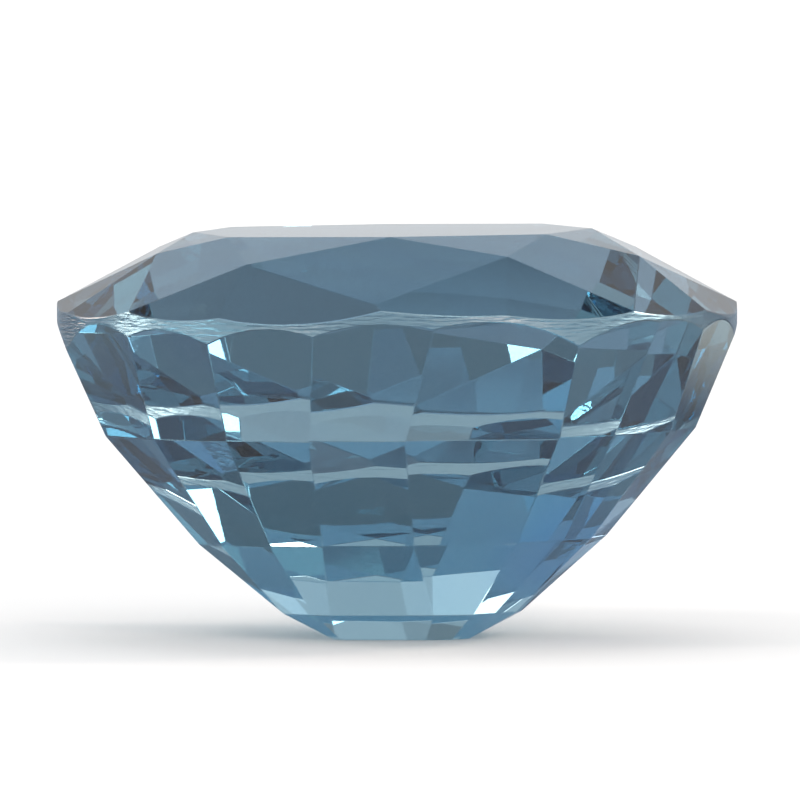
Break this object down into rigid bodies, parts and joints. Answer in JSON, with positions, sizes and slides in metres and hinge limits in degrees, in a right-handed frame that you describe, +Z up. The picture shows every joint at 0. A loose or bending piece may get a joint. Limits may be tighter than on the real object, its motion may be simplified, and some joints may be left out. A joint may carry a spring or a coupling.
{
  "type": "faceted sapphire",
  "caption": "Clear steel-blue cushion-cut gemstone with a faceted crown, a stepped pavilion and a flat culet that it stands on.",
  "frame": {"origin": "centre of the culet's height at the middle of the stone's plan, on the surface it rests on", "axes": "+X along the stone's length, -Y out of the face that the picture shows, +Z up through the table"},
  "size_m": [0.0084, 0.0078, 0.0051],
  "materials": {
    "sapphire_crystal": "polished clear steel-blue corundum with a deeper blue zone near the culet"
  },
  "bodies": {
    "root": {"sapphire": "sapphire_crystal"}
  },
  "joints": []
}
